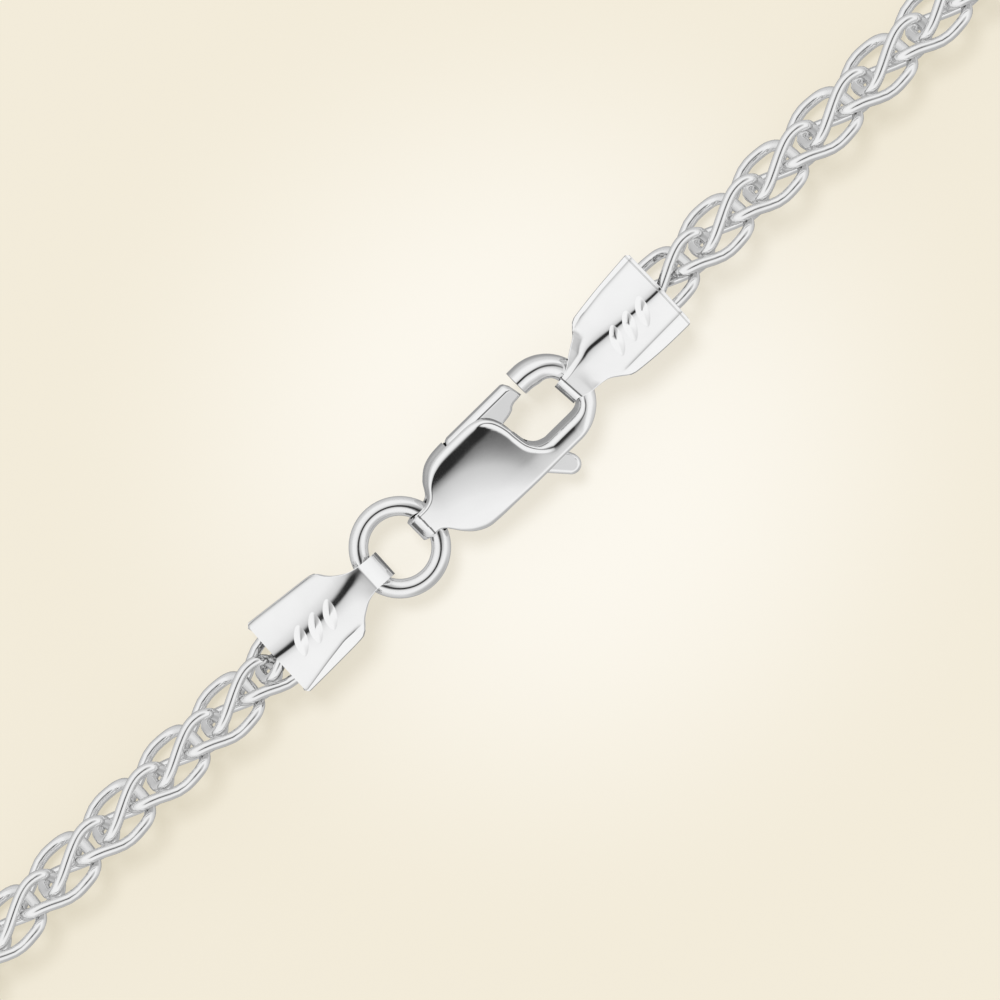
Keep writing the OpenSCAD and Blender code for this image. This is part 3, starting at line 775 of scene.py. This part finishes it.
def clasp_body(metals):
    """The clasp's body as a closed shell, with rooms cut out for the lever and for the ring."""
    inner, outer = clasp_edges()
    rows = len(inner)
    cells = []
    for a, b in zip(inner, outer):
        width = np.linalg.norm(b - a)
        edge = min(RIM_W, RIM_SHARE * width)
        rim = [edge * (1 - math.cos(math.radians(90 * k / RIM_STEPS))) for k in range(RIM_STEPS + 1)]
        even = list(np.linspace(edge, width - edge, FRONT_STEPS + 1))[1:-1]
        marks = rim + even + [width - r for r in rim[::-1]]
        cells.append([a + (b - a) * m / width for m in marks])
    cols = len(cells[0])
    plan = np.array(cells).reshape(-1, 2)
    top = clasp_top(plan[:, 0], plan[:, 1], distance(plan, inner), distance(plan, outer))
    points = [(p[0], p[1], z) for p, z in zip(plan, top)] + [(p[0], p[1], -z) for p, z in zip(plan, top)]
    faces = grid_faces(rows, cols)
    faces += [tuple(i + rows * cols for i in f[::-1]) for f in grid_faces(rows, cols)]
    # Painted shade: the faces on the tail's small flat get the dark metal as a line of shade
    ledge = [f for f, face in enumerate(faces)
             if TAIL_LEDGE_SHADE_LINE[0] < np.mean([points[i][0] for i in face]) < TAIL_LEDGE_SHADE_LINE[1]]
    satin_and_shade_faces = {SATIN_AND_SHADE: [], PAINTED_SHADE: ledge}
    between = WALL_LAYERS - 1

    def wall_column(i, column, base):
        """Numbers of the points down a side wall at one row, from the front's edge to the back's."""
        front = i * cols + column
        return [front] + [base + i * between + k for k in range(between)] + [rows * cols + front]

    # Side walls, slightly proud of the front's edge; those beside the gate and in the opening get the rougher
    # satin metal, whose darker tone is painted shade
    for column, line, way in ((0, inner, -1), (cols - 1, outer, 1)):
        base = len(points)
        tangent = np.gradient(line, axis=0)
        out = np.stack([tangent[:, 1], -tangent[:, 0]], 1) * -way
        out /= np.linalg.norm(out, axis=1)[:, None]
        for i, (x, y) in enumerate(line):
            z = top[i * cols + column]
            proud = float(np.interp(x, *INNER_PROUD)) if column == 0 else 0.05
            if x < -7.6:
                proud = 0.02
            if column == 0 and y > 0 and x > -2.3:
                proud = 0.04
            for k in range(1, WALL_LAYERS):
                h = 1 - 2 * k / WALL_LAYERS
                p = line[i] + out[i] * proud * (1 - h ** 4)
                points.append((p[0], p[1], z * h))
        for i in range(rows - 1):
            upper, lower = wall_column(i, column, base), wall_column(i + 1, column, base)
            if column == 0 and -7.4 < line[i][0] < 0.9:
                satin_and_shade_faces[SATIN_AND_SHADE] += range(len(faces), len(faces) + WALL_LAYERS)
            faces += [(upper[k], lower[k], lower[k + 1], upper[k + 1]) for k in range(WALL_LAYERS)]
    for row in (0, rows - 1):
        front = [row * cols + j for j in range(cols)]
        back = [rows * cols + row * cols + j for j in range(cols)]
        side_a = 2 * rows * cols + row * between
        side_b = side_a + rows * between
        ring = front + [side_b + k for k in range(between)] + back[::-1]
        ring += [side_a + k for k in range(between)][::-1]
        faces.append(tuple(ring if row == 0 else ring[::-1]))
    body = new_object("clasp_body_shell", points, faces)
    for metal in metals:
        body.data.materials.append(metal)
    for metal, numbers in satin_and_shade_faces.items():
        for i in numbers:
            body.data.polygons[i].material_index = metal
    outwards(body.data)
    cutters = [
        prism(GATE_ROOM, GATE_ROOM_HALF_T),
        prism(TRIGGER_ROOM, TRIGGER_ROOM_HALF_T),
        prism(circle(PIVOT, HUB_ROOM_R, ROUND_SIDES), HUB_ROOM_HALF_T),
        tail_hole(),
    ]
    for cutter in cutters:
        outwards(cutter.data)
        cut = body.modifiers.new("cut", "BOOLEAN")
        cut.operation = "DIFFERENCE"
        cut.solver = "EXACT"
        cut.object = cutter
    baked(body)
    for cutter in cutters:
        bpy.data.objects.remove(cutter)
    settle(body, clasp_matrix(), metals, "necklace", "clasp_body", sharp=35)


def prism(plan, half):
    """A plan drawn out to the same depth in front and behind."""
    n = len(plan)
    points = [(p[0], p[1], half) for p in plan] + [(p[0], p[1], -half) for p in plan]
    faces = [tuple(range(n)), tuple(range(2 * n - 1, n - 1, -1))]
    faces += [(i, n + i, n + (i + 1) % n, (i + 1) % n) for i in range(n)]
    return new_object("room", points, faces)


def tail_hole():
    """The room for the ring's wire, right across the tail."""
    n = ROUND_SIDES
    wire = circle((-TAIL_REACH, 0), TAIL_HOLE_R, n)
    points = [(x, side, z) for side in (-1.0, 1.0) for x, z in wire]
    ends = [tuple(range(n)), tuple(range(2 * n - 1, n - 1, -1))]
    return new_object("ring_room", points, ends + grid_faces(2, n, round_cols=True))


def raised(work, plan, profile, share):
    """A flat shape whose edges follow a profile of insets and heights, each corner by its shares of them."""
    plan, share = np.array(plan, float), np.array(share, float)
    after = np.roll(plan, -1, axis=0)
    if (plan[:, 0] * after[:, 1] - after[:, 0] * plan[:, 1]).sum() < 0:
        plan = plan[::-1]
        share = share[::-1]
    ahead = np.roll(plan, -1, axis=0) - plan
    ahead /= np.linalg.norm(ahead, axis=1)[:, None]
    inward = np.stack([-ahead[:, 1], ahead[:, 0]], 1)
    before = np.roll(inward, 1, axis=0)
    corner = (inward + before) / (1 + (inward * before).sum(1))[:, None] * share
    rings = []
    for inset, z in [(d, -z) for d, z in profile[::-1]] + list(profile):
        rings.append([work.verts.new((*p, z)) for p in plan + corner * inset])
    stacked(work, rings)


def clasp_lever(metals):
    """Gate, trigger and hub of the lever."""
    tip = [(TRIGGER_TIP[0] + TRIGGER_TIP_R * math.cos(a), TRIGGER_TIP[1] + TRIGGER_TIP_R * math.sin(a))
           for a in np.radians(np.linspace(28, -146, 22))]
    trigger = [*TRIGGER_RIGHT, *tip, *TRIGGER_LEFT]
    # The gate's outer edge is a rounded bar; its ends and inner edge are barely broken
    bar = {(-4.82, 2.1): (0.3, 1.2), (-4.65, 2.17): (0.3, 1.0), (-1.02, 2.17): (0.3, 1.0),
           (-0.9, 2.1): (0.3, 1.2)}
    # The trigger's right edge is less broken as far as its tip
    right = len(TRIGGER_RIGHT) + 1
    hub = circle(PIVOT, HUB_R, HUB_SIDES)
    work = bmesh.new()
    raised(work, GATE, GATE_PROFILE, [bar.get(p, (0.3, 0.3)) for p in GATE])
    raised(work, trigger, TRIGGER_PROFILE, [(0.5, 0.5)] * right + [(1.0, 1.0)] * (len(trigger) - right))
    raised(work, hub, HUB_PROFILE, [(1.0, 1.0)] * len(hub))
    lever = new_object("clasp_lever_shell", [], [])
    work.to_mesh(lever.data)
    work.free()
    settle(lever, clasp_matrix(), metals, "lever", "clasp_lever", sharp=35)


def jump_ring(metals, around=120, sides=32):
    """Round wire bent into a ring."""
    points = []
    for c, s in circle((0, 0), 1, around):
        for r, z in circle((RING_MID_R, 0), RING_WIRE / 2, sides):
            points.append((r * c, r * s, z))
    ring = new_object("jump_ring_wire", points, grid_faces(around, sides, round_rows=True, round_cols=True))
    place = Matrix.Translation((RING_X, CLASP_Y, MID_Z))
    settle(ring, place, metals, "necklace", "jump_ring", sharp=80)


# Metals, and the pieces put together

cast_gold = white_gold("cast_white_gold_mirror_polished", ("#F4F4F4", "#EEEEEE"), (0.05, 0.11),
                       polish_mm=0.35, haze_mm=1.6, depth_mm=0.0006)
# Satin metal: rougher, and its darker tone is painted shade in the mouth's groove and on the walls in the
# clasp's opening
satin_and_shade_gold = white_gold("cast_white_gold_satin_painted_shade", ("#E4E4E4", "#D6D6D6"), (0.2, 0.3),
                        polish_mm=0.2, haze_mm=0.9, depth_mm=0.001)
# Dark grey metal that paints lines of shade on the strap's end and ledge and on the tail's small flat
painted_shade_gold = white_gold("white_gold_painted_shade_lines", ("#929292", "#828282"), (0.35, 0.5),
                      polish_mm=0.15, haze_mm=0.6, depth_mm=0.001)
rolled_gold = white_gold("rolled_white_gold_sheet_polished", ("#F6F6F6", "#F1F1F1"), (0.06, 0.13),
                         polish_mm=0.3, haze_mm=1.2, depth_mm=0.0008)
drawn_gold = white_gold("drawn_white_gold_wire_polished", ("#F3F3F3", "#E9E9E9"), (0.07, 0.14),
                        polish_mm=0.2, haze_mm=0.8, depth_mm=0.0008)

last_near = LINK_COUNT - LINKS_EACH_SIDE
near_links = [*range(LINKS_EACH_SIDE), *range(last_near, LINK_COUNT + 1)]
far_links = range(LINKS_EACH_SIDE, last_near)
links("wheat_links_by_clasp", near_links, drawn_gold, "chain_links", around=64, sides=12)
links("wheat_links_round_loop", far_links, drawn_gold, "chain_run", around=16, sides=5)
ring_place = Matrix.Translation((-CLASP_HALF, FRONT_Y, MID_Z)) @ Matrix.Rotation(-RING_TURN, 4, "Z")
clasp_place = Matrix.Translation((CLASP_HALF, FRONT_Y, MID_Z)) @ Matrix.Rotation(math.pi + CLASP_TURN, 4, "Z")
end_cap("ring_cap_sheet", ring_place, RING_CAP, [rolled_gold, satin_and_shade_gold, painted_shade_gold], "ring_end_cap")
end_cap("clasp_cap_sheet", clasp_place, CLASP_CAP, [rolled_gold, satin_and_shade_gold, painted_shade_gold], "clasp_end_cap")
jump_ring([drawn_gold])
clasp_body([cast_gold, satin_and_shade_gold, painted_shade_gold])
clasp_lever([cast_gold])
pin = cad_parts["clasp_pin"]
pin.data.materials.clear()
pin.data.materials.append(drawn_gold)


# Floor, light and camera

FLOOR_HALF = 1.5
# Painted pool of light on the board: its middle, and the distances over which it fades to the board's outer
# tone
LIGHT_POOL_MIDDLE = (0.0037, -0.0477, 0)
LIGHT_POOL_START = 0.002
LIGHT_POOL_END = 0.027
# Brightness of the tent by degrees from straight up; the camera port is at the top
TENT = ((0, 0.1), (6, 0.1), (8, 0.4), (12, 0.66), (16, 0.76), (25, 0.93), (38, 1.0), (64, 1.0), (80, 0.84),
        (100, 0.72), (135, 0.55), (160, 0.36), (180, 0.3))
LENS = 200
SENSOR = 36
# What the picture shows from side to side, its middle, and its turn
SHOWN_MM = 48.31
SHOWN_MIDDLE = (0.189, -48.192)
PICTURE_TURN = -44.5
# Height at which the necklace has the picture's scale
SCALE_Z = 1.8


def floor():
    """Pale board lit from above and, as on a light table, softly from below, so shadows stay faint; a pool of
    light is painted on it, its colour and glow brighter round the clasp.
    """
    h = FLOOR_HALF
    board = new_object("floor", [(-h, -h, 0), (h, -h, 0), (h, h, 0), (-h, h, 0)], [(0, 1, 2, 3)])
    paper = bpy.data.materials.new("matt_cream_board")
    paper.use_nodes = True
    tree = paper.node_tree
    tree.nodes.clear()
    place = add(tree, "ShaderNodeTexCoord").outputs["Object"]
    # Painted light: the board's colour and glow are brighter round the pool's middle
    off = add(tree, "ShaderNodeVectorMath", {0: place, 1: LIGHT_POOL_MIDDLE}, operation="DISTANCE")
    light_pool = ramp(tree, off.outputs["Value"], LIGHT_POOL_START, LIGHT_POOL_END, 0.0, 1.0, "SMOOTHERSTEP")
    fibre = add(tree, "ShaderNodeTexNoise", {"Vector": place, "Scale": 3000.0, "Detail": 2.0})
    tooth = add(tree, "ShaderNodeBump", {"Height": fibre.outputs["Fac"], "Strength": 0.1,
                                         "Distance": 0.02 * MM})
    shader = add(tree, "ShaderNodeBsdfPrincipled", {
        "Base Color": mixed(tree, light_pool, colour("#71747A"), colour("#6D6D6E")),
        "Roughness": 0.95,
        "Specular IOR Level": 0.1,
        "Emission Color": mixed(tree, light_pool, colour("#FFF7E4"), colour("#F4EAD0")),
        "Emission Strength": 0.7,
        "Normal": tooth.outputs["Normal"]})
    add(tree, "ShaderNodeOutputMaterial", {"Surface": shader.outputs["BSDF"]})
    board.data.materials.append(paper)
    # The metal mirrors the darker studio below the board's level instead of the board
    board.visible_glossy = False


def light():
    """White tent with a small dark camera port overhead, and one soft lamp from the picture's upper left."""
    world = bpy.data.worlds.new("light_tent")
    bpy.context.scene.world = world
    world.use_nodes = True
    tree = world.node_tree
    tree.nodes.clear()
    way = add(tree, "ShaderNodeTexCoord").outputs["Generated"]
    unit = add(tree, "ShaderNodeVectorMath", {0: way}, operation="NORMALIZE").outputs[0]
    parts = add(tree, "ShaderNodeSeparateXYZ", {0: unit}).outputs
    angle = maths(tree, "ARCCOSINE", parts["Z"])
    tent = add(tree, "ShaderNodeValToRGB", {"Fac": maths(tree, "MULTIPLY", angle, 1 / math.pi)})
    keys = tent.color_ramp.elements
    while len(keys) < len(TENT):
        keys.new(0.5)
    for key, (degrees, value) in zip(keys, TENT):
        key.position = degrees / 180
        key.color = (value, value, value, 1)
    # A greyer patch of the tent's roof, a third of the way down towards the clasp's end cap
    toward = add(tree, "ShaderNodeVectorMath", {0: unit, 1: (0.5, 0, 0.866)}, operation="DOT_PRODUCT")
    patch = ramp(tree, toward.outputs["Value"], 0.883, 0.994, 1.0, 0.55)
    # The tent's wall on the viewer's side is darker
    front = ramp(tree, parts["Y"], -0.97, -0.72, 0.68, 1.0)
    # The camera port runs out to a narrow slot along the necklace
    beside = ramp(tree, maths(tree, "ABSOLUTE", parts["Y"]), 0.07, 0.2, 0.25, 1.0)
    beyond = ramp(tree, maths(tree, "ABSOLUTE", parts["X"]), 0.3, 0.6, 0.25, 1.0)
    under = maths(tree, "LESS_THAN", parts["Z"], 0.0)
    slot = maths(tree, "MAXIMUM", maths(tree, "MAXIMUM", beside, beyond), under)
    shade = maths(tree, "MULTIPLY", maths(tree, "MULTIPLY", patch, front), slot)
    glow = mixed(tree, 1.0, tent.outputs["Color"], shade, "MULTIPLY")
    back = add(tree, "ShaderNodeBackground", {"Color": glow, "Strength": 1.0})
    add(tree, "ShaderNodeOutputWorld", {"Surface": back.outputs[0]})
    lamp = bpy.data.lights.new("soft_lamp", "SUN")
    lamp.energy = 2.9
    lamp.angle = math.radians(20)
    lamp.color = (1.0, 0.985, 0.95)
    thing = in_scene("soft_lamp", lamp)
    # The picture's upper left is +Y here
    thing.rotation_euler = (math.radians(-21), 0, math.radians(-8))
    thing.visible_glossy = False


def camera():
    """Straight above the clasp."""
    eye = bpy.data.cameras.new("camera")
    eye.lens = LENS
    eye.sensor_width = SENSOR
    eye.clip_start = 0.005
    eye.clip_end = 10
    thing = in_scene("camera", eye)
    x, y = SHOWN_MIDDLE
    thing.location = (x * MM, y * MM, (SHOWN_MM / SENSOR * LENS + SCALE_Z) * MM)
    thing.rotation_euler = (0, 0, math.radians(PICTURE_TURN))
    bpy.context.scene.camera = thing


floor()
light()
camera()
bpy.context.scene.view_settings.view_transform = "Standard"
